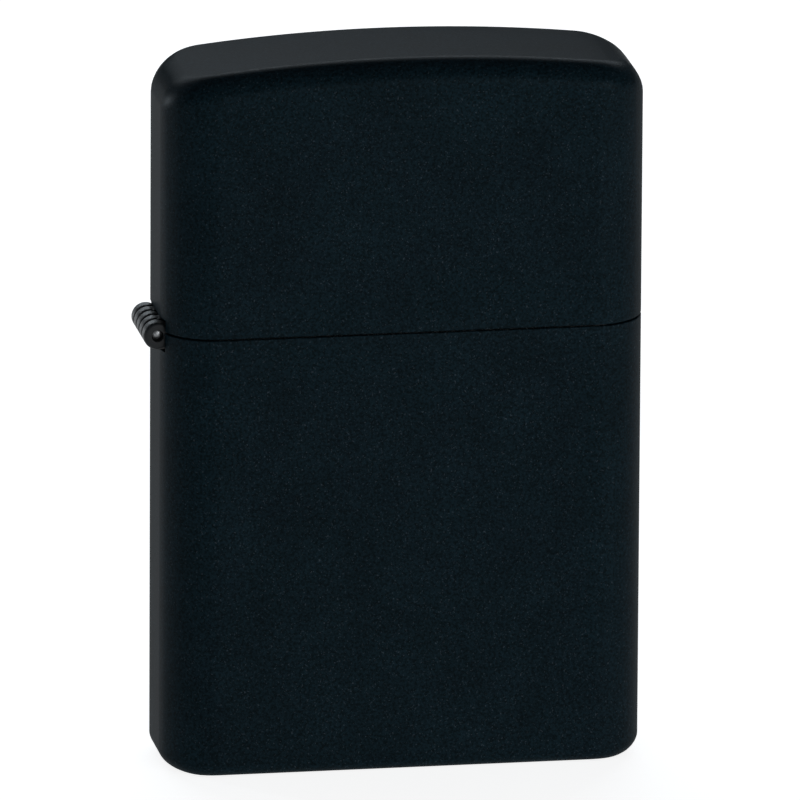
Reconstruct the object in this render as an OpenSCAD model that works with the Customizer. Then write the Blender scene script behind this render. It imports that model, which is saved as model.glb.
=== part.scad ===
// Flip-top windproof wick lighter: a two-part case on a side hinge around a pull-out insert.
// Millimetres, +Z up. The origin is the centre of the footprint, on the plane it stands on.
// X runs across the broad front, with the hinge on the -X side. The front faces -Y.

/* [Case] */
// Width of the case across the front, without the hinge barrel
case_w = 38; // [32:0.1:46]
// Depth of the case, front to back
case_d = 12.7; // [12.2:0.1:16]
// Height from the resting plane to the middle of the crowned top
case_h = 57.15; // [50:0.05:70]
// Height of the parting line between the base and the lid
seam_z = 35.4; // [30:0.1:42]
// Gap between the two rims when the lid is shut
seam_gap = 0.1; // [0.06:0.02:0.3]
// Thickness of the drawn brass sheet
wall = 0.7; // [0.5:0.05:0.75]
// Radius of the four upright edges
upright_r = 4.2; // [3.2:0.1:4.5]
// Radius of the edges round the top and round the bottom
edge_r = 0.9; // [0.85:0.05:1.2]
// Radius of the shallow crown on the top of the lid
crown_r = 135; // [110:1:250]
// Depth of the pressed panel in the underside
foot_recess = 0.2; // [0.1:0.05:0.3]
// Width of the flat rim that the case stands on
foot_rim = 1.1; // [0.8:0.1:1.1]

/* [Hinge] */
// Length of the barrel, front to back
hinge_len = 6.6; // [4.5:0.1:6.6]
// Radius of the barrel
barrel_r = 1.1; // [0.9:0.05:1.3]
// How far the barrel's axis stands out from the face of the case
barrel_out = 0.3; // [0.3:0.05:0.6]
// How far the barrel's axis is below the parting line
barrel_drop = 0.3; // [0:0.05:0.4]
// Number of knuckles, odd
knuckles = 5; // [3:2:7]
// Radius of the hinge pin
pin_r = 0.45; // [0.35:0.05:0.6]
// How far each end of the pin lies inside the barrel
pin_recess = 0.5; // [0.2:0.1:0.9]
// Thickness of the hinge leaves
leaf_t = 0.35; // [0.25:0.05:0.45]
// Height of each hinge leaf
leaf_h = 6; // [4:0.5:10]

/* [Insert] */
// Thickness of the stainless sheet of the insert
sheet = 0.45; // [0.35:0.05:0.6]
// Gap between the insert and the broad walls of the case
insert_gap = 0.12; // [0.1:0.02:0.2]
// Gap beside each hinge leaf
leaf_gap = 0.1; // [0.06:0.02:0.2]
// How far the top of the insert stands above the parting line
deck_rise = 0.6; // [0.4:0.1:1.2]

/* [Windscreen] */
// Height of the windscreen above the top of the insert
screen_h = 17; // [14:0.5:17.5]
// Width of the windscreen, front to back
screen_w = 8.6; // [7.6:0.1:9]
// Place of its closed end, left of the middle
screen_back = 8.8; // [8.4:0.1:10]
// Radius of the upright corners of its closed end
screen_end_r = 2.6; // [1.5:0.1:3.5]
// Diameter of the air holes
air_hole_d = 2.3; // [1.6:0.1:2.8]
// Distance between the air holes
air_hole_pitch = 3.6; // [3.1:0.1:4]

/* [Wheel] */
// Diameter of the striking wheel
wheel_d = 8; // [7:0.2:9]
// Thickness of the striking wheel
wheel_t = 4.6; // [3.8:0.1:4.8]
// Place of the wheel's axis, right of the middle
wheel_x = 10.6; // [9.8:0.1:11.5]
// Height of the wheel's axis above the top of the insert
wheel_rise = 8.9; // [8:0.1:10]
// Radius of the wheel's rivet
wheel_rivet_r = 1; // [0.7:0.1:1.3]
// Radius of the round ears that carry the wheel
ear_r = 2.7; // [2.2:0.1:3.2]

/* [Cam] */
// Thickness of the cam
cam_t = 2.4; // [1.8:0.1:3]
// Place of the cam's axis, in from the hinge side of the insert
cam_in = 4.75; // [4.5:0.05:5.2]
// Height of the cam's axis above the top of the insert
cam_rise = 2.2; // [2:0.1:2.8]
// Radius of the cam's rivet
cam_rivet_r = 0.7; // [0.5:0.05:0.9]

/* [Flint] */
// Diameter of the flint
flint_d = 2.4; // [2:0.1:2.6]
// Length of the flint
flint_len = 5.5; // [3:0.1:6]
// Radial gap between the flint and its tube
flint_gap = 0.1; // [0.05:0.01:0.15]
// Wall of the flint tube
tube_wall = 0.45; // [0.3:0.05:0.6]
// Length of the spring, pressed down, with a new flint
spring_len = 23; // [18:0.5:24]
// Diameter of the head of the flint screw
screw_head_d = 5.4; // [4.6:0.1:6]
// Thickness of the head of the flint screw
screw_head_t = 1.1; // [0.8:0.1:1.5]

/* [Filling] */
// Diameter of the wick
wick_d = 2.8; // [2.2:0.1:3.2]
// Height of the wick above the top of the insert
wick_rise = 9.4; // [6:0.2:10]
// Radius of the wick's bends
wick_bend_r = 3.5; // [3.1:0.1:3.7]
// Thickness of the felt pad
felt_t = 2.5; // [2:0.1:3]
// Gap left round the cotton
cotton_gap = 0.25; // [0.15:0.05:0.5]
// Radius of the edges of the cotton
cotton_edge_r = 1.2; // [0.6:0.1:1.6]

/* [Hidden] */
$fn = 48;
ARCH_STEPS = 720;     // steps of a full turn on the long, nearly flat arch of the top
RUNNING = 0.04;       // radial gap of a bore that turns on a pin
SIDE_PLAY = 0.1;      // gap beside each face of a piece that turns
REACH = 1;            // how far a cutter runs past the solid it cuts
ARCH_INSET = 1.2;     // how far inside the upright posts each end of the arch lies
JOIN = 0.01;          // how far two stacked pieces of one solid run into each other

pivot_x = -case_w / 2 - barrel_out;
pivot_z = seam_z - barrel_drop;
base_top_z = seam_z - seam_gap / 2;
lid_bottom_z = seam_z + seam_gap / 2;
post_x = case_w / 2 - upright_r;
post_y = case_d / 2 - upright_r;
crown_z = case_h - crown_r;
shoulder_z = crown_z + sqrt(pow(crown_r, 2) - pow(post_x, 2));
arch_a = asin((post_x - ARCH_INSET) / crown_r);
arch_depth = case_h - shoulder_z + 2 * edge_r;
inner_x = case_w / 2 - wall;
knuckle_w = hinge_len / knuckles;
notch_gap = 0.15;
leaf_w = case_d - 2 * upright_r - 0.1;
web_inset = 0.05;

can_w = 2 * (inner_x - leaf_t - leaf_gap);
can_d = case_d - 2 * wall - 2 * insert_gap;
inner_edge_r = edge_r - wall;
can_seat = sqrt(pow(inner_edge_r, 2) - pow(inner_edge_r - insert_gap, 2));
can_z = edge_r - can_seat + 0.1;
can_r = upright_r - wall - insert_gap;
deck_z = seam_z + deck_rise;
plate_top_z = deck_z - sheet;
plate_z = plate_top_z - sheet;
deck_gap = 0.1;

screen_top_z = deck_z + screen_h;
wheel_z = deck_z + wheel_rise;
ear_w = wheel_t + 2 * (2 * SIDE_PLAY + sheet);
scallop_r = screen_top_z - wheel_z - ear_r;
screen_front = wheel_x - scallop_r;
taper_len = 2;
rivet_head_t = 0.5;
rivet_head_over = 0.6;

cam_x = -can_w / 2 + cam_in;
cam_z = deck_z + cam_rise;
cam_boss_r = 1.7;
nose_r = 0.7;
nose_gap = 0.3;
nose_x = -inner_x + leaf_t + nose_gap + nose_r;
nose_up = 1;
tail_r = 0.5;
tail_in = 1.6;
tail_down = cam_rise + 1.4;
lug_w = cam_t + 2 * SIDE_PLAY;
slot_x1 = cam_x + 3.3;
strip_t = 0.3;
strip_w = 2.2;
strip_end_x = cam_x + 0.1;
strip_top_z = cam_z - tail_down - tail_r - 0.05;
strip_pad = 2.6;

tube_bore_r = flint_d / 2 + flint_gap;
tube_r = tube_bore_r + tube_wall;
tube_top_z = wheel_z - wheel_d / 2 - 0.5;
flint_top_z = wheel_z - wheel_d / 2 - 0.05;
flint_z = flint_top_z - flint_len;
tip_head_t = 1.4;
tip_z = flint_z - tip_head_t;
spring_z = tip_z - spring_len;
spring_r = tube_bore_r - 0.1;
spring_bore_r = 0.8;
head_z = can_z + 0.15;
tube_z = head_z + screw_head_t + 0.05;
nipple_r = spring_bore_r - 0.1;
nipple_len = 2;

felt_z = can_z + 0.1;
wick_x = 0.6;
wick_left = 10.4;
wick_right = 2.6;
wick_top_z = deck_z + wick_rise;
wick_turn_z = plate_z - 3.6;
wick_pitch = 2 * wick_bend_r;
wick_row_z = wick_turn_z - wick_bend_r;
cotton_x0 = -can_w / 2;
cotton_x1 = wheel_x - tube_r - cotton_gap;
cotton_clear = wick_d / 2 + cotton_gap;

// ---- shapes that repeat ----

// A rectangle with round corners, about its own middle
module round_plan(w, d, r) {
    square([w - 2 * r, d], center = true);
    square([w, d - 2 * r], center = true);
    for (x = [r - w / 2, w / 2 - r], y = [r - d / 2, d / 2 - r])
        translate([x, y]) circle(r = r);
}

// A section w wide and h tall, whose two top corners are round
module capped_section(w, h, r) {
    translate([-w / 2, 0]) square([w, h - r]);
    translate([r - w / 2, 0]) square([w - 2 * r, h]);
    for (x = [r - w / 2, w / 2 - r]) translate([x, h - r]) circle(r = r);
}

// The same section turned about its middle
module capped_post(r_post, h, r) {
    rotate_extrude() intersection() {
        capped_section(2 * r_post, h, r);
        square([r_post, h]);
    }
}

// A round bar along Y, centred on y
module bar_y(x, y, z, r, len) {
    translate([x, y, z]) rotate([90, 0, 0]) cylinder(r = r, h = len, center = true);
}

// Something drawn in the XZ plane, made len thick and centred on y
module slab_y(len, y = 0) {
    translate([0, y + len / 2, 0]) rotate([90, 0, 0]) linear_extrude(len) children();
}

// A part turn about a Y axis through x, z: a0 is measured from +X towards +Z
module turn_y(x, z, a0, a, steps = $fn) {
    translate([x, 0, z]) rotate([90, 0, 0]) rotate([0, 0, a0]) rotate_extrude(angle = a, $fn = steps) children();
}

// ---- the case ----

// A drawn cup standing on its mouth at z = 0: round upright edges, and round edges at the top
module cup_form(inset, h) {
    r = edge_r - inset;
    w = case_w - 2 * inset;
    d = case_d - 2 * inset;
    slab_y(2 * post_y) capped_section(w, h, r);
    rotate([0, 0, 90]) slab_y(2 * post_x) capped_section(d, h, r);
    for (x = [-post_x, post_x], y = [-post_y, post_y])
        translate([x, y, 0]) capped_post(upright_r - inset, h, r);
}

// The lower body of the case, inset all round, with its mouth at z1
module base_form(inset, z1) {
    translate([0, 0, z1]) rotate([180, 0, 0]) cup_form(inset, z1 - inset);
}

// The upper body of the case, inset all round, with its mouth at z0 and an arch on its top
module lid_form(inset, z0) {
    r = edge_r - inset;
    d = case_d - 2 * inset;
    depth = arch_depth - inset;
    translate([0, 0, z0]) cup_form(inset, shoulder_z - inset - z0);
    turn_y(0, crown_z, 90 - arch_a, 2 * arch_a, ARCH_STEPS) translate([crown_r - arch_depth, 0])
        rotate([0, 0, -90]) capped_section(d, depth, r);
}

// The slot in the hinge side that lets the barrel through
module hinge_notch() {
    h = 2 * (barrel_r + notch_gap);
    translate([pivot_x, 0, pivot_z])
        cube([2 * (leaf_t - inner_x - pivot_x), hinge_len + 2 * notch_gap, h], center = true);
}

module case_base() {
    rim = edge_r + foot_rim;
    color("#151c20") difference() {
        base_form(0, base_top_z);
        base_form(wall, base_top_z + REACH);
        hinge_notch();
        translate([0, 0, foot_recess - REACH]) linear_extrude(REACH)
            round_plan(case_w - 2 * rim, case_d - 2 * rim, upright_r - rim);
    }
}

module case_lid() {
    color("#151c20") difference() {
        lid_form(0, lid_bottom_z);
        lid_form(wall, lid_bottom_z - REACH);
        hinge_notch();
    }
}

// ---- the hinge ----

// Every second knuckle from the first one, each with its web back to the leaf, on the side up
module knuckle_row(first, up, bore_r) {
    web_x = -inner_x + leaf_t - pivot_x;
    web_z = barrel_r - web_inset - leaf_t;
    for (k = [first:2:knuckles - 1]) {
        y = (k - (knuckles - 1) / 2) * knuckle_w;
        w = knuckle_w - SIDE_PLAY;
        difference() {
            union() {
                bar_y(pivot_x, y, pivot_z, barrel_r, w);
                translate([pivot_x, y - w / 2, pivot_z + (up > 0 ? web_z : -web_z - leaf_t)])
                    cube([web_x, w, leaf_t]);
            }
            bar_y(pivot_x, y, pivot_z, bore_r, w + REACH);
        }
    }
}

// The flat part of a leaf, which is spot welded inside the flat of the wall, from z0 to z1
module leaf_plate(z0, z1) {
    translate([-inner_x, -leaf_w / 2, z0]) cube([leaf_t, leaf_w, z1 - z0]);
}

// The bar along the edge of a leaf that its webs grow from, at z
module leaf_bar(z) {
    translate([-inner_x, -hinge_len / 2, z]) cube([leaf_t, hinge_len, leaf_t]);
}

module hinge_leaf_base() {
    plate_z1 = pivot_z - barrel_r + web_inset + leaf_t;
    color("#3a3a3c") union() {
        knuckle_row(0, -1, pin_r);
        leaf_bar(plate_z1 - leaf_t);
        leaf_plate(plate_z1 - leaf_h, plate_z1);
    }
}

module hinge_leaf_lid() {
    plate_z0 = pivot_z + barrel_r - web_inset - leaf_t;
    color("#3a3a3c") union() {
        knuckle_row(1, 1, pin_r + RUNNING);
        leaf_bar(plate_z0);
        leaf_plate(plate_z0, plate_z0 + leaf_h);
    }
}

module hinge_pin() {
    color("#77787a") bar_y(pivot_x, 0, pivot_z, pin_r, hinge_len - 2 * pin_recess);
}

// ---- the insert ----

// The inside of the insert in plan
module can_bore_plan(gap = 0) {
    inset = sheet + gap;
    round_plan(can_w - 2 * inset, can_d - 2 * inset, can_r - inset);
}

// The windscreen in plan, inset all round, open towards the wheel
module screen_plan(inset) {
    half = screen_w / 2 - inset;
    ear_half = ear_w / 2 - inset;
    r = screen_end_r - inset;
    taper_end = screen_front + taper_len;
    translate([-screen_back + inset + r, -half]) square([screen_front + screen_back - inset - r, 2 * half]);
    translate([-screen_back + inset, r - half]) square([r, 2 * half - 2 * r]);
    for (y = [r - half, half - r]) translate([-screen_back + inset + r, y]) circle(r = r);
    polygon([
        [screen_front, -half], [taper_end, -ear_half], [taper_end, ear_half], [screen_front, half]
    ]);
    translate([taper_end, -ear_half]) square([wheel_x + ear_r - taper_end + (inset > 0 ? REACH : 0), 2 * ear_half]);
}

// The slot that the cam's tail swings in, w wide, with a gap to the left of it, ending at x1
module cam_slot_plan(w, gap, x1) {
    x0 = cam_x - cam_boss_r - gap;
    translate([x0, -w / 2]) square([x1 - x0, w]);
}

module fuel_can() {
    color("#b9bbbd") difference() {
        translate([0, 0, can_z]) linear_extrude(deck_z - can_z) round_plan(can_w, can_d, can_r);
        translate([0, 0, can_z - REACH]) linear_extrude(plate_top_z - can_z + REACH) can_bore_plan();
        translate([0, 0, plate_top_z - REACH]) linear_extrude(2 * REACH) {
            screen_plan(-deck_gap);
            cam_slot_plan(lug_w + 2 * sheet + 2 * deck_gap, deck_gap, -screen_back);
        }
    }
}

// The outline of the windscreen's sides: a tall screen that scoops down to the wheel's ears
module screen_side() {
    foot_z = plate_z;
    translate([-screen_back, foot_z]) square([screen_front + screen_back, screen_top_z - foot_z]);
    difference() {
        translate([screen_front, foot_z]) square([scallop_r, screen_top_z - foot_z]);
        translate([wheel_x, screen_top_z]) circle(r = scallop_r);
    }
    translate([wheel_x, wheel_z]) circle(r = ear_r);
    translate([wheel_x, foot_z]) square([ear_r, wheel_z - foot_z]);
}

// Three rows of air holes through both broad sides, three, two and three
module air_holes() {
    mid_x = (screen_front - screen_back + screen_end_r) / 2 - air_hole_pitch / 8;
    mid_z = deck_z + screen_h * 0.55;
    for (row = [-1, 0, 1], k = row == 0 ? [-0.5, 0.5] : [-1, 0, 1])
        bar_y(mid_x + k * air_hole_pitch, 0, mid_z + row * air_hole_pitch, air_hole_d / 2, screen_w + REACH);
}

// One of the two lugs that hold the cam's rivet, at y
module cam_lug(y) {
    slab_y(sheet, y) {
        translate([cam_x, cam_z]) circle(r = cam_boss_r);
        translate([cam_x - cam_boss_r, plate_z]) square([2 * cam_boss_r, cam_z - plate_z]);
    }
}

module windscreen() {
    color("#c4c6c8") difference() {
        union() {
            translate([0, 0, plate_z]) linear_extrude(sheet) can_bore_plan();
            intersection() {
                slab_y(screen_w + REACH) screen_side();
                translate([0, 0, plate_z]) linear_extrude(screen_h + 3 * sheet) difference() {
                    screen_plan(0);
                    screen_plan(sheet);
                }
            }
            for (side = [-1, 1]) cam_lug(side * (lug_w + sheet) / 2);
        }
        air_holes();
        bar_y(wheel_x, 0, wheel_z, wheel_rivet_r, screen_w + REACH);
        bar_y(cam_x, 0, cam_z, cam_rivet_r, lug_w + 2 * sheet + REACH);
        translate([wick_x, 0, plate_z - REACH]) cylinder(d = wick_d, h = sheet + 2 * REACH);
        translate([wheel_x, 0, plate_z - REACH]) cylinder(r = tube_r, h = sheet + 2 * REACH);
        translate([0, 0, plate_z - REACH]) linear_extrude(sheet + REACH + JOIN) cam_slot_plan(lug_w, 0, slot_x1);
    }
}

// ---- the cam and its spring ----

module cam() {
    nose_z = cam_z + nose_up;
    tail_x = cam_x + tail_in;
    tail_z = cam_z - tail_down;
    shank = 0.65 * cam_boss_r;
    color("#9a9c9e") difference() {
        union() {
            bar_y(cam_x, 0, cam_z, cam_boss_r, cam_t);
            bar_y(nose_x, 0, nose_z, nose_r, cam_t);
            bar_y(tail_x, 0, tail_z, tail_r, cam_t);
            slab_y(cam_t) polygon([
                [nose_x, nose_z - nose_r], [nose_x, nose_z + nose_r],
                [cam_x + shank, cam_z + shank], [cam_x + shank, cam_z - shank]
            ]);
            slab_y(cam_t) polygon([
                [tail_x - tail_r, tail_z], [tail_x + tail_r, tail_z],
                [cam_x + shank, cam_z + shank], [cam_x - shank, cam_z + shank]
            ]);
        }
        bar_y(cam_x, 0, cam_z, cam_rivet_r + RUNNING, cam_t + REACH);
    }
}

// A rivet along Y with a flat round head at each end, over a stack of thickness grip
module rivet(x, z, r, grip) {
    bar_y(x, 0, z, r, grip + 2 * rivet_head_t);
    for (side = [-1, 1])
        bar_y(x, side * (grip + rivet_head_t) / 2, z, r + rivet_head_over, rivet_head_t);
}

module cam_rivet() {
    color("#b0b2b4") rivet(cam_x, cam_z, cam_rivet_r, lug_w + 2 * sheet);
}

// A flat spring: a pad under the plate, a slope, and a free end that presses the cam's tail up
module cam_spring() {
    pad_x1 = wick_x - wick_d / 2 - 0.6;
    pad_x0 = pad_x1 - strip_pad;
    bend_x = cam_x + tail_in + 2;
    color("#8d8f91") slab_y(strip_w) polygon([
        [strip_end_x, strip_top_z - strip_t], [strip_end_x, strip_top_z], [bend_x, strip_top_z],
        [pad_x0, plate_z], [pad_x1, plate_z], [pad_x1, plate_z - strip_t],
        [pad_x0, plate_z - strip_t], [bend_x, strip_top_z - strip_t]
    ]);
}

// ---- the wheel and the flint ----

module striking_wheel() {
    bevel = 0.35;
    r = wheel_d / 2;
    bore = wheel_rivet_r + RUNNING;
    half = wheel_t / 2;
    color("#8a8176") translate([wheel_x, 0, wheel_z]) rotate([90, 0, 0]) rotate_extrude() polygon([
        [bore, -half], [r - bevel, -half], [r, bevel - half], [r, half - bevel], [r - bevel, half], [bore, half]
    ]);
}

module wheel_rivet() {
    color("#b0b2b4") rivet(wheel_x, wheel_z, wheel_rivet_r, ear_w);
}

module flint_tube() {
    color("#b08d4c") translate([wheel_x, 0, 0]) difference() {
        translate([0, 0, tube_z]) cylinder(r = tube_r, h = tube_top_z - tube_z);
        translate([0, 0, tube_z - REACH]) cylinder(r = tube_bore_r, h = tube_top_z - tube_z + 2 * REACH);
    }
}

module flint() {
    color("#4b4a48") translate([wheel_x, 0, flint_z]) cylinder(d = flint_d, h = flint_len);
}

module spring_tip() {
    color("#b08d4c") translate([wheel_x, 0, tip_z]) {
        cylinder(r = tube_bore_r - 0.08, h = tip_head_t);
        translate([0, 0, -nipple_len]) cylinder(r = nipple_r, h = nipple_len + JOIN);
    }
}

// The closed outer form of the coil
module flint_spring() {
    color("#9fa1a3") translate([wheel_x, 0, spring_z]) difference() {
        cylinder(r = spring_r, h = spring_len);
        translate([0, 0, -REACH]) cylinder(r = spring_bore_r, h = spring_len + 2 * REACH);
    }
}

module flint_screw() {
    slot_w = 0.8;
    slot_h = 0.6;
    color("#b08d4c") translate([wheel_x, 0, 0]) difference() {
        union() {
            translate([0, 0, head_z]) cylinder(d = screw_head_d, h = screw_head_t);
            translate([0, 0, head_z]) cylinder(r = tube_bore_r - 0.02, h = spring_z - head_z);
            translate([0, 0, spring_z - JOIN]) cylinder(r = nipple_r, h = nipple_len);
        }
        translate([-screw_head_d, -slot_w / 2, head_z - REACH]) cube([2 * screw_head_d, slot_w, REACH + slot_h]);
    }
}

// ---- the filling ----

// A straight run of the wick along X between two places, at z
module wick_run(x0, x1, z) {
    translate([x0, 0, z]) rotate([0, 90, 0]) cylinder(d = wick_d, h = x1 - x0);
}

// A bend of the wick about x, z, from a0 through a
module wick_bend(x, z, a0, a) {
    turn_y(x, z, a0, a) translate([wick_bend_r, 0]) circle(d = wick_d);
}

module wick() {
    first_x = wick_x - wick_bend_r;
    color("#d8d2c4") union() {
        translate([wick_x, 0, wick_turn_z]) cylinder(d = wick_d, h = wick_top_z - wick_turn_z);
        wick_bend(first_x, wick_turn_z, -90, 90);
        wick_run(-wick_left, first_x, wick_row_z);
        for (row = [1:3]) wick_run(-wick_left, wick_right, wick_row_z - row * wick_pitch);
        for (row = [0, 2]) wick_bend(-wick_left, wick_row_z - wick_bend_r - row * wick_pitch, 90, 180);
        wick_bend(wick_right, wick_row_z - wick_bend_r - wick_pitch, -90, 180);
    }
}

// A wad of cotton between two corners, rounded along its depth and trimmed to the inside of the insert
module cotton_wad(x0, x1, z0, z1) {
    w = x1 - x0;
    h = z1 - z0;
    intersection() {
        slab_y(can_d) translate([(x0 + x1) / 2, (z0 + z1) / 2]) round_plan(w, h, cotton_edge_r);
        translate([0, 0, z0 - REACH]) linear_extrude(h + 2 * REACH) can_bore_plan(cotton_gap);
    }
}

// The wad that fills the loop below row n of the wick, on the open side of that loop
module cotton_row(n, x0, x1) {
    color("#efece4") cotton_wad(x0, x1, wick_row_z - (n + 1) * wick_pitch + cotton_clear,
        wick_row_z - n * wick_pitch - cotton_clear);
}

module cotton_1() {
    color("#efece4") cotton_wad(wick_x + cotton_clear, cotton_x1,
        wick_row_z - cotton_clear + cotton_gap, plate_z - cotton_gap);
}

module cotton_2() {
    cotton_row(0, -wick_left, cotton_x1);
}

module cotton_3() {
    cotton_row(1, cotton_x0, wick_right);
}

module cotton_4() {
    cotton_row(2, -wick_left, cotton_x1);
}

module cotton_5() {
    color("#efece4") cotton_wad(wheel_x + tube_r + cotton_gap, can_w / 2,
        felt_z + felt_t + cotton_gap, plate_z - cotton_gap);
}

module felt_pad() {
    color("#c9bfae") difference() {
        translate([0, 0, felt_z]) linear_extrude(felt_t) can_bore_plan(0.02);
        translate([wheel_x, 0, felt_z - REACH]) cylinder(d = screw_head_d + 0.3, h = felt_t + 2 * REACH);
    }
}

case_base();
case_lid();
hinge_leaf_base();
hinge_leaf_lid();
hinge_pin();
fuel_can();
windscreen();
cam();
cam_rivet();
cam_spring();
striking_wheel();
wheel_rivet();
flint_tube();
flint();
spring_tip();
flint_spring();
flint_screw();
wick();
felt_pad();
cotton_1();
cotton_2();
cotton_3();
cotton_4();
cotton_5();
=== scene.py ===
"""Flip-top windproof wick lighter: the looks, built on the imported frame.

Metres, +Z up, origin at the centre of the footprint. X runs across the broad front with the hinge on -X, and
the front faces -Y. Lengths given in millimetres are multiplied by MM.
"""

import math
import random

import bmesh
import bpy
from mathutils import Matrix, Vector


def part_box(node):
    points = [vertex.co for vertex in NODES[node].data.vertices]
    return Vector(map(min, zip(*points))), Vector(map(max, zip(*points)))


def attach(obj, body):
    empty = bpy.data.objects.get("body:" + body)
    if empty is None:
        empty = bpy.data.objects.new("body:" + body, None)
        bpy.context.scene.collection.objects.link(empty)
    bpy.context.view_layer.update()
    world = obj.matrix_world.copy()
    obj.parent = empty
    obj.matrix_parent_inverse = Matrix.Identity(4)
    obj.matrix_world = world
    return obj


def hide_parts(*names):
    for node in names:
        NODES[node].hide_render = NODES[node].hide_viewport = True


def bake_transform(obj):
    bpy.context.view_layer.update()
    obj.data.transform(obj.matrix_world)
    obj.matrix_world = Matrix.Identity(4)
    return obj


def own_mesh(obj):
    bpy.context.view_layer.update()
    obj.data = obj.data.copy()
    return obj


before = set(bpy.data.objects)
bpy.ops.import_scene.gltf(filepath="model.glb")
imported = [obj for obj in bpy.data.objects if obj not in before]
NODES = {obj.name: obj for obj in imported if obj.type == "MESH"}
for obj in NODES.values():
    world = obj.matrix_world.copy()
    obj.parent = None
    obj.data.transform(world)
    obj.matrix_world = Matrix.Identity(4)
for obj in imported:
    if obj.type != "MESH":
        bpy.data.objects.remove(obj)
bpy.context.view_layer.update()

MM = 0.001
# depth of the coats' grain
COAT_GRAIN = 0.02 * MM
X, Y, Z = Vector((1, 0, 0)), Vector((0, 1, 0)), Vector((0, 0, 1))
NONE = Vector((0, 0, 0))


# ---- sizes, in metres, from the frame ----

BASE_LOW, BASE_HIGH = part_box("case_base")
LID_LOW, LID_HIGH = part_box("case_lid")
CASE_W = BASE_HIGH.x - BASE_LOW.x
CASE_D = BASE_HIGH.y - BASE_LOW.y
WALL = 0.7 * MM
UPRIGHT_R = 4.2 * MM
EDGE_R = 0.9 * MM
TOP_R = 1.9 * MM
CROWN_R = 135 * MM
FOOT_IN = 2.0 * MM
FOOT_RECESS = 0.2 * MM

PIN_LOW, PIN_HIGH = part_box("hinge_pin")
PIVOT = (PIN_LOW + PIN_HIGH) / 2
PIN_R = (PIN_HIGH.z - PIN_LOW.z) / 2
HINGE_LOW, HINGE_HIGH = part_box("hinge_leaf_base")
HINGE_LEN = HINGE_HIGH.y - HINGE_LOW.y
BARREL_R = 1.1 * MM
KNUCKLES = 5
KNUCKLE_GAP = 0.1 * MM
LEAF_T = 0.35 * MM
BAR_DROP = 0.7 * MM
INNER_FACE = 1.35 * MM
SLOT_HALF = 0.4 * MM
SLOT_DEPTH = 0.6 * MM
RIVET_HEAD = 0.5 * MM
END_RISE, END_START, END_RUN = 0.5 * MM, 16 * MM, 3 * MM
TOP_DROP, TOP_START, TOP_RUN = 0.7 * MM, 15 * MM, 4 * MM


# ---- colours and materials ----

def hex_colour(text):
    """An sRGB hex colour as a linear RGBA value."""
    parts = [int(text[i:i + 2], 16) / 255 for i in (1, 3, 5)]
    return tuple(p / 12.92 if p <= 0.04045 else ((p + 0.055) / 1.055) ** 2.4 for p in parts) + (1,)


def add(tree, kind, settings=None, links=None):
    """Adds a node: settings name its properties or sockets, links the socket that each output goes to."""
    node = tree.nodes.new(kind)
    for key, value in (settings or {}).items():
        if key in node.inputs:
            node.inputs[key].default_value = value
        else:
            setattr(node, key, value)
    for key, source in (links or {}).items():
        tree.links.new(source, node.inputs[key])
    return node


def finish(name, colour, roughness, metallic=0.0):
    """A material with its shader and, in place of metres, coordinates in millimetres on the piece."""
    material = bpy.data.materials.new(name)
    material.use_nodes = True
    tree = material.node_tree
    shader = tree.nodes["Principled BSDF"]
    shader.inputs["Base Color"].default_value = hex_colour(colour)
    shader.inputs["Roughness"].default_value = roughness
    shader.inputs["Metallic"].default_value = metallic
    place = add(tree, "ShaderNodeTexCoord")
    mm = add(tree, "ShaderNodeMapping", {"Scale": (1000, 1000, 1000)}, {"Vector": place.outputs["Object"]})
    return material, tree, shader, mm.outputs["Vector"]


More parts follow.
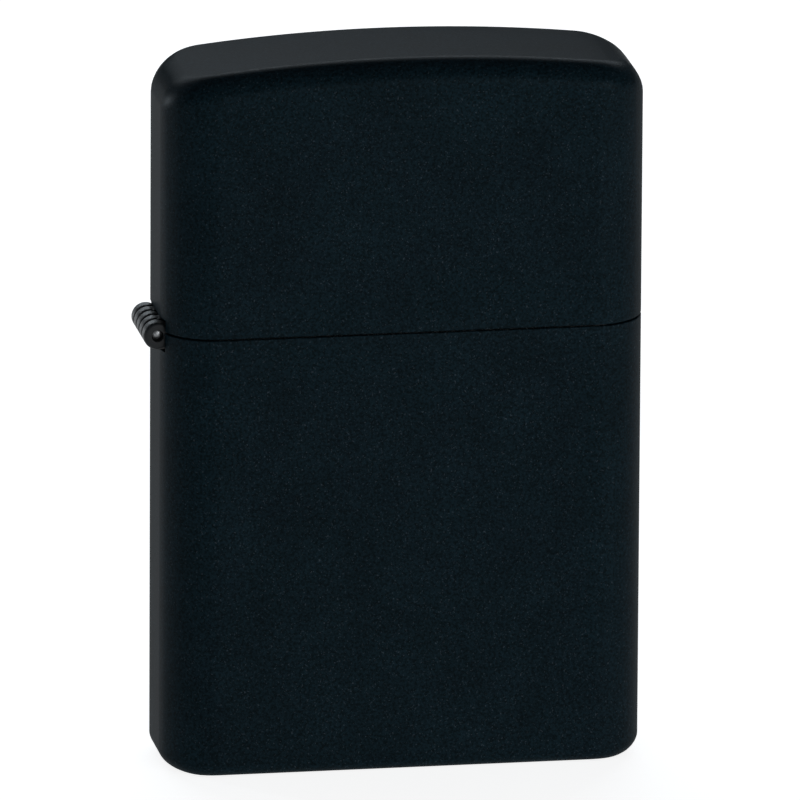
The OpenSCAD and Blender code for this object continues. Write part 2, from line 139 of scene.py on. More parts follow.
def powder_coat():
    # Matt black polyester powder baked on brass: a fine sandy grain with rare paler specks. The gloss is lost
    # at a low angle.
    material, tree, shader, mm = finish("powder_coat_black", "#0a1217", 0.4)
    shader.inputs["Specular Tint"].default_value = hex_colour("#cfe6f2")
    # grains of about 0.2 mm, drawn a little coarser than real powder so that they show
    grain = add(tree, "ShaderNodeTexNoise", {"Scale": 5.0, "Detail": 3.0, "Roughness": 0.62}, {"Vector": mm})
    cloud = add(tree, "ShaderNodeTexNoise", {"Scale": 0.22, "Detail": 2.0}, {"Vector": mm})
    fleck = add(tree, "ShaderNodeTexNoise", {"Scale": 7.5, "Detail": 1.0}, {"Vector": mm})
    tone = add(tree, "ShaderNodeMapRange", {"From Min": 0.37, "From Max": 0.63},
               {"Value": grain.outputs["Fac"]})
    body = add(tree, "ShaderNodeMix", {"data_type": "RGBA", "A": hex_colour("#040b0e"),
                                         "B": hex_colour("#0c191f")},
               {"Factor": tone.outputs["Result"]})
    rare = add(tree, "ShaderNodeMapRange", {"From Min": 0.66, "From Max": 0.76, "To Max": 0.55},
               {"Value": fleck.outputs["Fac"]})
    speck = add(tree, "ShaderNodeMix", {"data_type": "RGBA", "B": hex_colour("#333b42")},
                {"Factor": rare.outputs["Result"], "A": body.outputs["Result"]})
    drift = add(tree, "ShaderNodeMapRange", {"From Min": 0.3, "From Max": 0.7, "To Min": 0.86,
                                               "To Max": 1.14},
                {"Value": cloud.outputs["Fac"]})
    shade = add(tree, "ShaderNodeHueSaturation", {}, {"Value": drift.outputs["Result"],
                                                      "Color": speck.outputs["Result"]})
    tree.links.new(shade.outputs["Color"], shader.inputs["Base Color"])
    facing = add(tree, "ShaderNodeLayerWeight", {"Blend": 0.5})
    gloss = add(tree, "ShaderNodeMapRange", {"From Min": 0.25, "From Max": 0.8, "To Min": 0.03,
                                               "To Max": 0.004},
                {"Value": facing.outputs["Facing"]})
    tree.links.new(gloss.outputs["Result"], shader.inputs["Specular IOR Level"])
    bump = add(tree, "ShaderNodeBump", {"Strength": 0.35, "Distance": COAT_GRAIN},
               {"Height": grain.outputs["Fac"]})
    tree.links.new(bump.outputs["Normal"], shader.inputs["Normal"])
    return material


def worn_hinge():
    # Black coat on the hinge knuckles, rubbed through to warm grey metal on the crests.
    material, tree, shader, mm = finish("hinge_black_worn", "#1b1e21", 0.5)
    shader.inputs["Specular IOR Level"].default_value = 0.2
    about = add(tree, "ShaderNodeMapping", {"Location": (-PIVOT.x / MM, 0, -PIVOT.z / MM)},
                {"Vector": mm})
    split = add(tree, "ShaderNodeSeparateXYZ", {}, {"Vector": about.outputs["Vector"]})
    flat = add(tree, "ShaderNodeCombineXYZ", {}, {"X": split.outputs["X"], "Z": split.outputs["Z"]})
    out = add(tree, "ShaderNodeVectorMath", {"operation": "LENGTH"}, {0: flat.outputs["Vector"]})
    rub = add(tree, "ShaderNodeTexNoise", {"Scale": 3.2, "Detail": 4.0, "Roughness": 0.65}, {"Vector": mm})
    crest = add(tree, "ShaderNodeMapRange", {"From Min": 0.98, "From Max": 1.1, "To Max": 0.75},
                {"Value": out.outputs["Value"]})
    patch = add(tree, "ShaderNodeMapRange", {"From Min": 0.38, "From Max": 0.62},
                {"Value": rub.outputs["Fac"]})
    worn = add(tree, "ShaderNodeMath", {"operation": "MULTIPLY"},
               {0: crest.outputs["Result"], 1: patch.outputs["Result"]})
    body = add(tree, "ShaderNodeMix", {"data_type": "RGBA", "A": hex_colour("#0b0f12"),
                                         "B": hex_colour("#3a3836")},
               {"Factor": worn.outputs["Value"]})
    tree.links.new(body.outputs["Result"], shader.inputs["Base Color"])
    bump = add(tree, "ShaderNodeBump", {"Strength": 0.3, "Distance": COAT_GRAIN},
               {"Height": rub.outputs["Fac"]})
    tree.links.new(bump.outputs["Normal"], shader.inputs["Normal"])
    return material


def metal(name, light, dark, roughness, spread, stretch, grain_mm, depth_mm=0.01, patch_mm=3.0):
    """A bare metal: two tones that drift in patches, and a grain drawn out by stretch along each axis."""
    material, tree, shader, mm = finish(name, light, roughness, 1.0)
    drawn = add(tree, "ShaderNodeMapping", {"Scale": stretch}, {"Vector": mm})
    grain = add(tree, "ShaderNodeTexNoise", {"Scale": 1 / grain_mm, "Detail": 3.0, "Roughness": 0.6},
                {"Vector": drawn.outputs["Vector"]})
    patch = add(tree, "ShaderNodeTexNoise", {"Scale": 1 / patch_mm, "Detail": 2.0}, {"Vector": mm})
    both = add(tree, "ShaderNodeMath", {"operation": "MULTIPLY"},
               {0: grain.outputs["Fac"], 1: patch.outputs["Fac"]})
    share = add(tree, "ShaderNodeMapRange", {"From Min": 0.1, "From Max": 0.42},
                {"Value": both.outputs["Value"]})
    body = add(tree, "ShaderNodeMix", {"data_type": "RGBA", "A": hex_colour(dark), "B": hex_colour(light)},
               {"Factor": share.outputs["Result"]})
    tree.links.new(body.outputs["Result"], shader.inputs["Base Color"])
    rough = add(tree, "ShaderNodeMapRange", {"To Min": roughness - spread, "To Max": roughness + spread},
                {"Value": grain.outputs["Fac"]})
    tree.links.new(rough.outputs["Result"], shader.inputs["Roughness"])
    bump = add(tree, "ShaderNodeBump", {"Strength": 0.4, "Distance": depth_mm * MM},
               {"Height": grain.outputs["Fac"]})
    tree.links.new(bump.outputs["Normal"], shader.inputs["Normal"])
    return material


def fibre(name, light, dark, fibre_mm, stretch, depth_mm, sheen):
    """A soft fibrous stuff: fine drawn-out fibres in two tones with a little sheen."""
    material, tree, shader, mm = finish(name, light, 0.95)
    shader.inputs["Sheen Weight"].default_value = sheen
    shader.inputs["Sheen Roughness"].default_value = 0.6
    shader.inputs["Specular IOR Level"].default_value = 0.2
    drawn = add(tree, "ShaderNodeMapping", {"Scale": stretch}, {"Vector": mm})
    strands = add(tree, "ShaderNodeTexNoise", {"Scale": 1 / fibre_mm, "Detail": 6.0, "Roughness": 0.7,
                                               "Distortion": 1.2}, {"Vector": drawn.outputs["Vector"]})
    body = add(tree, "ShaderNodeMix", {"data_type": "RGBA", "A": hex_colour(dark), "B": hex_colour(light)},
               {"Factor": strands.outputs["Fac"]})
    tree.links.new(body.outputs["Result"], shader.inputs["Base Color"])
    bump = add(tree, "ShaderNodeBump", {"Strength": 0.7, "Distance": depth_mm * MM},
               {"Height": strands.outputs["Fac"]})
    tree.links.new(bump.outputs["Normal"], shader.inputs["Normal"])
    return material


ALONG_X, ALONG_Y, ALONG_Z, EVEN = (0.06, 1, 1), (1, 0.06, 1), (1, 1, 0.06), (1, 1, 1)
FINISHES = {
    "coat": powder_coat(),
    "hinge": worn_hinge(),
    # Cold-rolled stainless of the insert, brushed up and down: long soft streaks.
    "insert": metal("stainless_brushed", "#c9cbcc", "#9da0a2", 0.3, 0.08, ALONG_Z, 0.12),
    # The bare brass inside the case: drawn, dull and a little stained.
    "inside": metal("brass_drawn_dull", "#a08a5c", "#6e5d3c", 0.42, 0.1, ALONG_Z, 0.25, patch_mm=5.0),
    # Barrel-tumbled stainless of the cam: an even, fine matt.
    "cam": metal("stainless_tumbled", "#b4b6b8", "#85888a", 0.34, 0.08, EVEN, 0.1),
    # Turned and set rivets: bright, with faint turning marks.
    "rivet": metal("stainless_turned", "#d3d4d5", "#a4a6a8", 0.22, 0.06, EVEN, 0.15),
    # Blued spring steel.
    "spring": metal("spring_steel", "#9a9da2", "#5f6468", 0.3, 0.08, ALONG_X, 0.1),
    # Hardened, oiled tool steel of the wheel: dark with brighter rubbed tips.
    "wheel": metal("wheel_steel_oiled", "#77716a", "#3a3734", 0.38, 0.12, EVEN, 0.2, 0.02, 1.5),
    # Bright-drawn pin wire.
    "pin": metal("pin_steel", "#8b8d8f", "#56585a", 0.35, 0.08, ALONG_Y, 0.1),
    # Free-cutting brass of the tube, tip and screw.
    "brass": metal("brass_turned", "#cfae68", "#9a7c3f", 0.28, 0.08, EVEN, 0.12),
    # Pressed and sintered spark alloy: a dark, granular rod.
    "flint": metal("spark_alloy", "#5d5a56", "#33312f", 0.55, 0.12, EVEN, 0.18, 0.03, 0.8),
    # Fine copper wire laid in the wick.
    "copper": metal("copper_wire", "#c9825a", "#8a4f33", 0.32, 0.06, ALONG_Z, 0.1),
    # Braided cotton yarn, with long fibres along each strand.
    "wick": fibre("cotton_yarn", "#ece5d4", "#b9ae98", 0.12, (1, 1, 0.35), 0.03, 0.35),
    # Pressed wool felt.
    "felt": fibre("wool_felt", "#d2c6b0", "#a3967e", 0.3, EVEN, 0.05, 0.5),
    # Loose cotton and rayon wadding.
    "cotton": fibre("cotton_wadding", "#f4f1e9", "#cfcabd", 0.35, (1, 1, 0.6), 0.08, 0.6),
}


# ---- pieces ----

def piece(name, bm, finishes, body, nodes=(), smooth=38):
    mesh = bpy.data.meshes.new(name)
    bm.to_mesh(mesh)
    bm.free()
    for finish_name in finishes:
        mesh.materials.append(FINISHES[finish_name])
    mesh.shade_smooth()
    mesh.set_sharp_from_angle(angle=math.radians(smooth))
    obj = bpy.data.objects.new(name, mesh)
    bpy.context.scene.collection.objects.link(obj)
    if body:
        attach(obj, body)
    if nodes:
        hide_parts(*nodes)
    return obj


def case_cup(top, bottom, mouth_up, edge_r):
    """An open cup of the case's plan between two heights, with round upright edges and a round closed end."""
    bm = bmesh.new()
    size = Matrix.Diagonal((CASE_W, CASE_D, top - bottom, 1))
    bmesh.ops.create_cube(bm, size=1, matrix=Matrix.Translation((0, 0, (top + bottom) / 2)) @ size)
    mouth = top if mouth_up else bottom
    end = bottom if mouth_up else top
    lost = [f for f in bm.faces if abs(f.calc_center_median().z - mouth) < 1e-6]
    bmesh.ops.delete(bm, geom=lost, context="FACES")
    upright = [e for e in bm.edges if abs(e.verts[0].co.z - e.verts[1].co.z) > 1e-6]
    bmesh.ops.bevel(bm, geom=upright, offset=UPRIGHT_R, affect="EDGES", segments=12, profile=0.5, material=-1)
    rim = [e for e in bm.edges if all(abs(v.co.z - end) < 1e-6 for v in e.verts)]
    bmesh.ops.bevel(bm, geom=rim, offset=edge_r, affect="EDGES", segments=8, profile=0.5, material=-1)
    return bm


def cut_notch(bm, low, high):
    """Opens the hinge side between two heights, where the barrel passes."""
    half = HINGE_LEN / 2 + 0.15 * MM
    reach = 0.6 * MM - CASE_W / 2
    for place, normal in ((Y * half, Y), (-Y * half, Y), (Z * low, Z), (Z * high, Z)):
        side = [f for f in bm.faces if f.calc_center_median().x < reach]
        edges = {e for f in side for e in f.edges}
        verts = {v for f in side for v in f.verts}
        geom = list(verts | edges) + side
        bmesh.ops.bisect_plane(bm, geom=geom, plane_co=place, plane_no=normal, dist=1e-7)
    inside = []
    for face in bm.faces:
        middle = face.calc_center_median()
        if middle.x < reach and abs(middle.y) < half and low < middle.z < high:
            inside.append(face)
    bmesh.ops.delete(bm, geom=inside, context="FACES")


def crown(bm, top):
    """Bows the closed end into its shallow arch across the width."""
    steps = 38
    for k in range(1, steps):
        x = (k / steps - 0.5) * CASE_W
        cut_across(bm, (x, 0, 0), X)
    for v in bm.verts:
        if v.co.z > top - TOP_R - 1e-6:
            shoulder = max(abs(v.co.x) - TOP_START, 0) / TOP_RUN
            v.co.z -= v.co.x ** 2 / (2 * CROWN_R) + TOP_DROP * shoulder ** 2


def sheet_walls(obj, rim_r):
    """Gives an open cup its sheet thickness inwards, and breaks its edges."""
    wall = obj.modifiers.new("wall", "SOLIDIFY")
    wall.thickness = WALL
    wall.offset = -1
    wall.use_even_offset = True
    wall.material_offset = 1
    edge = obj.modifiers.new("rim", "BEVEL")
    edge.width = rim_r
    edge.segments = 3
    edge.limit_method = "ANGLE"
    edge.angle_limit = math.radians(50)
    edge.material = -1
    level = obj.modifiers.new("shading", "WEIGHTED_NORMAL")
    level.keep_sharp = True
    return obj


def make_case():
    bm = case_cup(LID_HIGH.z, LID_LOW.z, mouth_up=False, edge_r=TOP_R)
    cut_notch(bm, LID_LOW.z - MM, PIVOT.z + BARREL_R + 0.15 * MM)
    crown(bm, LID_HIGH.z)
    bmesh.ops.recalc_face_normals(bm, faces=bm.faces)
    lid = piece("lid_shell", bm, ("coat", "inside"), "lid", ["case_lid"])
    sheet_walls(lid, 0.16 * MM)

    bm = case_cup(BASE_HIGH.z, BASE_LOW.z, mouth_up=True, edge_r=EDGE_R)
    foot = [f for f in bm.faces if f.calc_center_median().z < BASE_LOW.z + 1e-6]
    bmesh.ops.inset_region(bm, faces=foot, thickness=FOOT_IN - EDGE_R, depth=0)
    bmesh.ops.inset_region(bm, faces=foot, thickness=0.15 * MM, depth=-FOOT_RECESS)
    for v in bm.verts:
        if v.co.z < BASE_LOW.z + EDGE_R + 1e-6:
            v.co.z += END_RISE * (max(abs(v.co.x) - END_START, 0) / END_RUN) ** 2
    cut_notch(bm, PIVOT.z - BARREL_R - 0.15 * MM, BASE_HIGH.z + MM)
    bmesh.ops.recalc_face_normals(bm, faces=bm.faces)
    base = piece("base_shell", bm, ("coat", "inside"), "base", ["case_base"])
    sheet_walls(base, 0.12 * MM)


def link_mesh(name, mesh, finishes, body, nodes=(), smooth=38):
    """Declares a finished mesh as a piece."""
    bm = bmesh.new()
    bm.from_mesh(mesh)
    return piece(name, bm, finishes, body, nodes, smooth)


def turned(bm, outline, centre, along, steps=48, ring=False):
    """Spins an outline of (place along the axis, radius) pairs, in metres, once round the axis."""
    out = Z if abs(along.z) < 0.5 else X
    verts = [bm.verts.new(centre + along * a + out * r) for a, r in outline]
    pairs = list(zip(verts, verts[1:])) + ([(verts[-1], verts[0])] if ring else [])
    edges = [bm.edges.new(pair) for pair in pairs]
    bmesh.ops.spin(bm, geom=verts + edges, cent=centre, axis=along, dvec=NONE, angle=2 * math.pi, steps=steps,
                   use_merge=True, use_normal_flip=False, use_duplicate=False)
    bmesh.ops.remove_doubles(bm, verts=bm.verts, dist=1e-7)
    bmesh.ops.recalc_face_normals(bm, faces=bm.faces)


def soft_ring(w, r_in, r_out, edge):
    """The outline of a ring w wide whose two outer edges are round."""
    half, round_r = w / 2, r_out - edge
    outline = [(-half, r_in), (-half, round_r)]
    for turn in (22.5, 45, 67.5, 90):
        a = math.radians(turn)
        outline.append((-half + edge - edge * math.cos(a), round_r + edge * math.sin(a)))
    for turn in (0, 22.5, 45, 67.5, 90):
        a = math.radians(turn)
        outline.append((half - edge + edge * math.sin(a), round_r + edge * math.cos(a)))
    return outline + [(half, r_in)]


def block(bm, low, high, edge=0.0):
    """A box between two corners with its edges broken."""
    size = Vector(high) - Vector(low)
    middle = (Vector(high) + Vector(low)) / 2
    made = bmesh.ops.create_cube(bm, size=1, matrix=Matrix.Translation(middle) @ Matrix.Diagonal((*size, 1)))
    if edge:
        edges = list({e for v in made["verts"] for e in v.link_edges})
        bmesh.ops.bevel(bm, geom=edges, offset=edge, affect="EDGES", segments=2, profile=0.5, material=-1)


def cut_across(bm, place, normal, **more):
    """Cuts the whole mesh along a plane."""
    geom = list(bm.verts) + list(bm.edges) + list(bm.faces)
    return bmesh.ops.bisect_plane(bm, geom=geom, plane_co=place, plane_no=normal, dist=1e-7, **more)


def packed_shape(node, flat=None):
    """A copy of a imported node, its flat faces made whole where they meet at less than flat degrees."""
    bm = bmesh.new()
    bm.from_mesh(NODES[node].data)
    bmesh.ops.remove_doubles(bm, verts=bm.verts, dist=1e-6)
    if flat:
        bmesh.ops.dissolve_limit(bm, angle_limit=math.radians(flat), verts=bm.verts, edges=bm.edges,
                                 delimit=set())
    return bm


def softened(name, node, finish_name, body, edge):
    """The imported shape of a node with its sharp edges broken."""
    bm = packed_shape(node, 3)
    obj = piece(name, bm, (finish_name,), body, [node], smooth=40)
    broken = obj.modifiers.new("edge", "BEVEL")
    broken.width = edge
    broken.segments = 2
    broken.limit_method = "ANGLE"
    broken.angle_limit = math.radians(35)
    level = obj.modifiers.new("shading", "WEIGHTED_NORMAL")
    level.keep_sharp = True
    return obj


def wire(name, points, radius, sides=2):
    """A round wire or strand along points, made a closed mesh."""
    curve = bpy.data.curves.new(name + "_path", "CURVE")
    curve.dimensions = "3D"
    curve.bevel_depth = radius
    curve.bevel_resolution = sides
    curve.use_fill_caps = True
    line = curve.splines.new("POLY")
    line.points.add(len(points) - 1)
    for point, place in zip(line.points, points):
        point.co = (*place, 1)
    path = bpy.data.objects.new(name + "_path", curve)
    mesh = bpy.data.meshes.new_from_object(path)
    bpy.data.objects.remove(path)
    return mesh


# ---- hinge ----

def make_hinge():
    pitch = HINGE_LEN / KNUCKLES
    width = pitch - KNUCKLE_GAP
    inner_x = PIVOT.x + INNER_FACE
    rows = (("hinge_base_knuckles", "hinge_leaf_base", "base", (0, 2, 4), -1),
            ("hinge_lid_knuckles", "hinge_leaf_lid", "lid", (1, 3), 1))
    for name, node, body, places, side in rows:
        low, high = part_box(node)
        bm = bmesh.new()
        for k in places:
            y = (k - (KNUCKLES - 1) / 2) * pitch
            outline = soft_ring(width, PIN_R + 0.03 * MM, BARREL_R, 0.26 * MM)
            turned(bm, outline, Vector((PIVOT.x, y, PIVOT.z)), Y, steps=40, ring=True)
            web = PIVOT.z + side * (BAR_DROP)
            block(bm, (PIVOT.x + 0.1 * MM, y - width / 2 + 0.05 * MM, min(web, web + side * LEAF_T)),
                  (inner_x, y + width / 2 - 0.05 * MM, max(web, web + side * LEAF_T)), 0.06 * MM)
        bar = PIVOT.z + side * (BAR_DROP)
        block(bm, (inner_x - LEAF_T, -HINGE_LEN / 2, min(bar, bar + side * LEAF_T)),
              (inner_x, HINGE_LEN / 2, max(bar, bar + side * LEAF_T)), 0.06 * MM)
        leaf_w = CASE_D - 2 * UPRIGHT_R - 0.1 * MM
        ends = (low.z, bar + LEAF_T) if side < 0 else (bar, high.z)
        block(bm, (inner_x - LEAF_T, -leaf_w / 2, ends[0]), (inner_x, leaf_w / 2, ends[1]), 0.08 * MM)
        piece(name, bm, ("hinge",), body, [node])

    bm = bmesh.new()
    half, dome = (PIN_HIGH.y - PIN_LOW.y) / 2, 0.12 * MM
    turned(bm, [(-half, 0), (-half + 0.03 * MM, PIN_R * 0.6), (-half + dome, PIN_R), (half - dome, PIN_R),
                (half - 0.03 * MM, PIN_R * 0.6), (half, 0)], PIVOT, Y, steps=32)
    piece("hinge_pin_domed", bm, ("pin",), "base", ["hinge_pin"])


# ---- insert ----

def make_insert():
    softened("insert_can", "fuel_can", "insert", "base", 0.16 * MM)
    softened("windscreen_pressed", "windscreen", "insert", "base", 0.07 * MM)
    softened("cam_stamped", "cam", "cam", "cam", 0.12 * MM)
    for name, node, slot in (("cam_rivet_set", "cam_rivet", "rivet_steel"),
                             ("wheel_rivet_set", "wheel_rivet", "rivet_steel")):
        low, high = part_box(node)
        centre, half, head = (low + high) / 2, (high.y - low.y) / 2, (high.x - low.x) / 2
        shank = head - 0.6 * MM
        bm = bmesh.new()
        crest = [(half - RIVET_HEAD * (1 - math.cos(a)), head * math.sin(a))
                 for a in (0.0, 0.35, 0.7, 1.0, 1.25)]
        far = [(half - RIVET_HEAD, head), (half - RIVET_HEAD, shank)]
        outline = [(-a, r) for a, r in crest + far] + [(a, r) for a, r in reversed(crest + far)]
        turned(bm, outline, centre, Y, steps=40)
        piece(name, bm, ("rivet",), "base", [node], smooth=50)


def make_wheel():
    low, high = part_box("striking_wheel")
    centre, r, half = (low + high) / 2, (high.z - low.z) / 2, (high.y - low.y) / 2
    bore, flange, teeth, rows = 1.04 * MM, 0.42 * MM, 34, 10
    bm = bmesh.new()
    band = half - flange
    outline = [(-half, bore), (-half, r * 0.62), (-half + 0.12 * MM, r * 0.66), (-half + 0.12 * MM, r * 0.84),
               (-half, r * 0.88), (-half, r - 0.3 * MM), (-half + 0.1 * MM, r - 0.18 * MM)]
    outline += [(-band + 2 * band * k / rows, r) for k in range(rows + 1)]
    outline += [(-a, q) for a, q in reversed(outline[:7])]
    turned(bm, outline, centre, Y, steps=3 * teeth, ring=True)
    for v in bm.verts:
        away = v.co - centre
        radius = math.hypot(away.x, away.z)
        if radius > r - 1e-6:
            row = round((away.y + band) / (2 * band) * rows)
            turn = math.atan2(away.z, away.x) / (2 * math.pi) * 3 * teeth + row * 0.75
            cut = 0.3 * MM * ((turn % 3) / 3) + (0.16 * MM if row % 3 == 0 else 0)
            scale = (radius - cut) / radius
            v.co.x, v.co.z = centre.x + away.x * scale, centre.z + away.z * scale
    bmesh.ops.recalc_face_normals(bm, faces=bm.faces)
    piece("striking_wheel_cut", bm, ("wheel",), "wheel", ["striking_wheel"], smooth=25)


def make_flint_line():
    low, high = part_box("flint_tube")
    axis = Vector(((low.x + high.x) / 2, 0, 0))
    r, bore, flare = (high.x - low.x) / 2, 1.3 * MM, 0.1 * MM
    bm = bmesh.new()
    turned(bm, [(low.z, bore + flare), (low.z, r - flare), (low.z + flare, r), (high.z - flare, r),
                (high.z, r - flare), (high.z, bore + flare), (high.z - 2 * flare, bore),
                (low.z + 2 * flare, bore)],
           axis, Z, steps=40, ring=True)
    piece("flint_tube_drawn", bm, ("brass",), "base", ["flint_tube"])

    low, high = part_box("flint")
    r, chamfer, worn = (high.x - low.x) / 2, 0.2 * MM, 0.25 * MM
    bm = bmesh.new()
    turned(bm, [(low.z, 0), (low.z, r - chamfer), (low.z + chamfer, r), (high.z - worn, r),
                (high.z - 0.4 * worn, r * 0.75),
                (high.z - worn, r * 0.4), (high.z - 1.2 * worn, 0)], axis, Z, steps=36)
    piece("flint_worn", bm, ("flint",), "flint_follower", ["flint"])

    low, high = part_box("spring_tip")
    r, nose = (high.x - low.x) / 2, 0.7 * MM
    head = high.z - 1.4 * MM
    bm = bmesh.new()
    turned(bm, [(low.z, 0), (low.z, nose - 0.2 * MM), (low.z + 0.2 * MM, nose), (head, nose),
                (head, r - 0.1 * MM),
                (head + 0.1 * MM, r), (high.z - 0.2 * MM, r), (high.z, r - 0.2 * MM),
                (high.z, 0)], axis, Z, steps=36)
    piece("spring_tip_turned", bm, ("brass",), "flint_follower", ["spring_tip"])

    low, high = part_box("flint_screw")
    r, shank, nose, head = (high.x - low.x) / 2, 1.28 * MM, 0.7 * MM, low.z + 1.1 * MM
    shoulder = high.z - 2 * MM
    outline = [(low.z, 0), (low.z, r - 0.25 * MM), (low.z + 0.25 * MM, r), (head - 0.12 * MM, r),
               (head, r - 0.12 * MM),
               (head, shank - 0.2 * MM)]
    turns = int((shoulder - head - 0.4 * MM) / (0.5 * MM))
    for k in range(turns):
        z = head + 0.3 * MM + k * 0.5 * MM
        outline += [(z, shank - 0.2 * MM), (z + 0.2 * MM, shank), (z + 0.25 * MM, shank)]
    outline += [(shoulder, shank - 0.2 * MM), (shoulder, nose), (high.z - 0.2 * MM, nose),
                (high.z, nose - 0.2 * MM),
                (high.z, 0)]
    bm = bmesh.new()
    turned(bm, outline, axis, Z, steps=32)
    for side in (-1, 1):
        cut_across(bm, (0, side * SLOT_HALF, 0), Y)
    for v in bm.verts:
        if abs(v.co.y) < SLOT_HALF - 1e-7 and v.co.z < low.z + SLOT_DEPTH / 2:
            v.co.z = low.z + SLOT_DEPTH
    piece("flint_screw_slotted", bm, ("brass",), "base", ["flint_screw"])

    low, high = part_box("flint_spring")
    thick = 0.17 * MM
    coil_r, turns, steps = (high.x - low.x) / 2 - thick, 26, 14
    rise = high.z - low.z - 2 * thick
    points = []
    for k in range(turns * steps + 1):
        t = k / (turns * steps)
        close = thick * 2 * (min(t * turns, 1.5) + max(t * turns - turns + 1.5, 0))
        z = low.z + thick + (rise - thick * 6) * min(max((t * turns - 1.5) / (turns - 3), 0), 1) + close
        a = 2 * math.pi * k / steps
        points.append((axis.x + coil_r * math.cos(a), coil_r * math.sin(a), z))
    mesh = wire("flint_spring_coil", points, thick)
    coil = link_mesh("flint_spring_coil", mesh, ("spring",), "base", ["flint_spring"], 60)
    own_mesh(coil)


def make_cam_spring():
    low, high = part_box("cam_spring")
    bm = packed_shape("cam_spring", 1)
    bend = [e for e in bm.edges if len(e.link_faces) == 2 and e.calc_face_angle(0) > math.radians(10)
            and abs(e.verts[0].co.y - e.verts[1].co.y) > MM and low.x + MM < e.verts[0].co.x < high.x - MM]
    bmesh.ops.bevel(bm, geom=bend, offset=0.5 * MM, affect="EDGES", segments=5, profile=0.5, material=-1)
    for k in range(1, 20):
        x = low.x + (high.x - low.x) * k / 20
        cut_across(bm, (x, 0, 0), X)
    strip = piece("cam_spring_strip", bm, ("spring",), None, ["cam_spring"], 35)
    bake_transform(strip)


# ---- wick and filling ----

def make_wick():
    low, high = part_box("wick")
    axis_x, r = 0.6 * MM, 1.4 * MM
    lay = 0.24 * MM
    parts = []
    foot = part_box("windscreen")[0].z - 1.2 * MM
    top = high.z - 0.35 * MM
    steps = 70
    for turn in (1, -1):
        for k in range(8):
            points = []
            for j in range(steps + 1):
                t = j / steps
                a = turn * 2 * math.pi * t * 2.1 + 2 * math.pi * k / 8
                weave = math.cos(8 * a + (0 if turn > 0 else math.pi)) * 0.09 * MM
                ring = r - lay - 0.09 * MM + weave
                points.append((axis_x + ring * math.cos(a), ring * math.sin(a), foot + (top - foot) * t))
            parts.append((wire("strand", points, lay, sides=1), 0))
    rng = random.Random(7)
    for k in range(26):
        a, ring = rng.uniform(0, 2 * math.pi), r * 0.72 * math.sqrt(rng.random())
        lean = (rng.uniform(-0.15, 0.15) * MM, rng.uniform(-0.15, 0.15) * MM)
        x, y = axis_x + ring * math.cos(a), ring * math.sin(a)
        rise = rng.uniform(0.1, 0.35) * MM
        points = [(x, y, top - 3 * MM), (x, y, top - 0.2 * MM),
                  (x + lean[0], y + lean[1], top + rise - 0.1 * MM)]
        copper = k < 5
        parts.append((wire("strand", points, (0.07 if copper else 0.16) * MM, sides=1),
                      1 if copper else 0))
    bm = bmesh.new()
    for mesh, kind in parts:
        first = len(bm.faces)
        bm.from_mesh(mesh)
        bm.faces.ensure_lookup_table()
        for face in bm.faces[first:]:
            face.material_index = kind
    piece("wick_braid", bm, ("wick", "copper"), "base", (), 60)

    source = packed_shape("wick")
    cut = cut_across(source, (0, 0, foot + 0.6 * MM), Z, clear_outer=True)
    rim = [e for e in cut["geom_cut"] if isinstance(e, bmesh.types.BMEdge)]
    bmesh.ops.contextual_create(source, geom=rim)
    piece("wick_run", source, ("wick",), "base", ["wick"], 50)


def make_filling():
    rng = random.Random(11)
    for k in range(1, 6):
        node = f"cotton_{k}"
        low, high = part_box(node)
        bm = packed_shape(node, 2)
        for along, start, end in ((X, low.x, high.x), (Y, low.y, high.y), (Z, low.z, high.z)):
            count = max(2, int((end - start) / (0.7 * MM)))
            for j in range(1, count):
                place = along * (start + (end - start) * j / count)
                cut_across(bm, place, along)
        bmesh.ops.triangulate(bm, faces=bm.faces)
        bm.normal_update()
        for _ in range(2):
            bmesh.ops.smooth_vert(bm, verts=bm.verts, factor=0.5, use_axis_x=True, use_axis_y=True,
                                  use_axis_z=True)
        bm.normal_update()
        for v in bm.verts:
            v.co -= v.normal * rng.uniform(0, 0.16) * MM
        wad = piece(f"cotton_wad_{k}", bm, ("cotton",), "base", [node], 70)

    felt = piece("felt_pad_cut", packed_shape("felt_pad", 2), ("felt",), "base", ["felt_pad"], 40)
    soft = felt.modifiers.new("edge", "BEVEL")
    soft.width = 0.35 * MM
    soft.segments = 3
    soft.limit_method = "ANGLE"
    soft.angle_limit = math.radians(40)


make_case()
make_hinge()
make_insert()
make_wheel()
make_flint_line()
make_cam_spring()
make_wick()
make_filling()


# ---- floor, light and camera ----

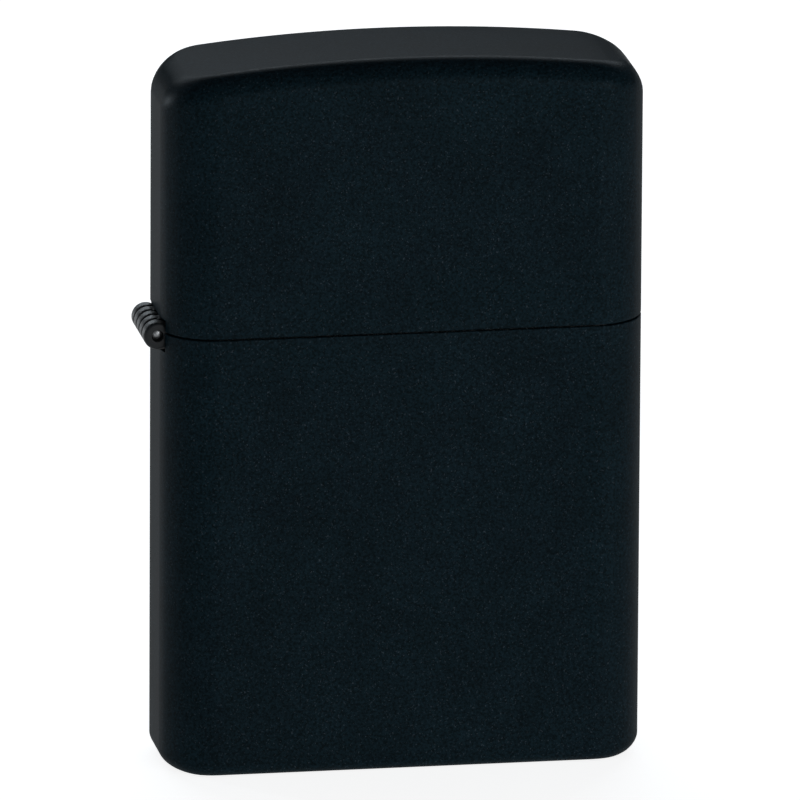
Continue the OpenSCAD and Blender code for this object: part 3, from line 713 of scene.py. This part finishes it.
def make_stage():
    bm = bmesh.new()
    # a hair below the foot, so that the two faces do not fight
    below = Matrix.Translation((0, 0, -0.02 * MM))
    bmesh.ops.create_grid(bm, x_segments=1, y_segments=1, size=4.0, matrix=below)
    mesh = bpy.data.meshes.new("floor")
    bm.to_mesh(mesh)
    bm.free()
    # Seamless white studio paper, lit until it holds no tone.
    paper, tree, shader, mm = finish("studio_paper", "#c4c4c4", 0.9)
    shader.inputs["Emission Color"].default_value = (1, 1, 1, 1)
    shader.inputs["Emission Strength"].default_value = 0.85
    mesh.materials.append(paper)
    floor = bpy.data.objects.new("floor", mesh)
    bpy.context.scene.collection.objects.link(floor)

    world = bpy.data.worlds.new("studio")
    world.use_nodes = True
    world.node_tree.nodes["Background"].inputs["Color"].default_value = (0.8, 0.9, 1.0, 1)
    world.node_tree.nodes["Background"].inputs["Strength"].default_value = 0.12
    bpy.context.scene.world = world


def area_light(name, place, aim, width, height, power, colour="#ffffff"):
    data = bpy.data.lights.new(name, "AREA")
    data.shape = "RECTANGLE"
    data.size = width
    data.size_y = height
    data.energy = power
    data.color = hex_colour(colour)[:3]
    light = bpy.data.objects.new(name, data)
    light.location = place
    light.rotation_euler = (Vector(aim) - Vector(place)).to_track_quat("-Z", "Y").to_euler()
    bpy.context.scene.collection.objects.link(light)


def make_light():
    middle = (0, 0, 0.03)
    area_light("key_bank", (0.7, -1.1, 0.15), middle, 0.9, 0.3, 8)
    area_light("rim_strip", (-0.8, 0.75, 0.1), middle, 0.1, 0.2, 3.5, "#dfeaf2")
    area_light("top_strip", (0.1, 1.15, 0.6), middle, 1.4, 0.2, 9, "#dfeaf2")


def make_camera():
    azimuth, elevation, roll = math.radians(-9.778), math.radians(15.484), math.radians(0.324)
    distance = 1.573
    back = Vector((math.sin(azimuth) * math.cos(elevation), -math.cos(azimuth) * math.cos(elevation),
                   math.sin(elevation)))
    right = (-back).cross(Z).normalized()
    up = right.cross(-back)
    across = right * math.cos(roll) + up * math.sin(roll)
    upward = up * math.cos(roll) - right * math.sin(roll)
    data = bpy.data.cameras.new("camera")
    data.lens = 906.3
    data.sensor_width = 36
    data.clip_end = 20
    camera = bpy.data.objects.new("camera", data)
    place = Vector((0.382 * MM, 0, 28.272 * MM)) + back * distance
    camera.matrix_world = Matrix.Translation(place) @ Matrix((across, upward, back)).transposed().to_4x4()
    bpy.context.scene.collection.objects.link(camera)
    bpy.context.scene.camera = camera


make_stage()
make_light()
make_camera()
bpy.context.scene.view_settings.view_transform = "Standard"
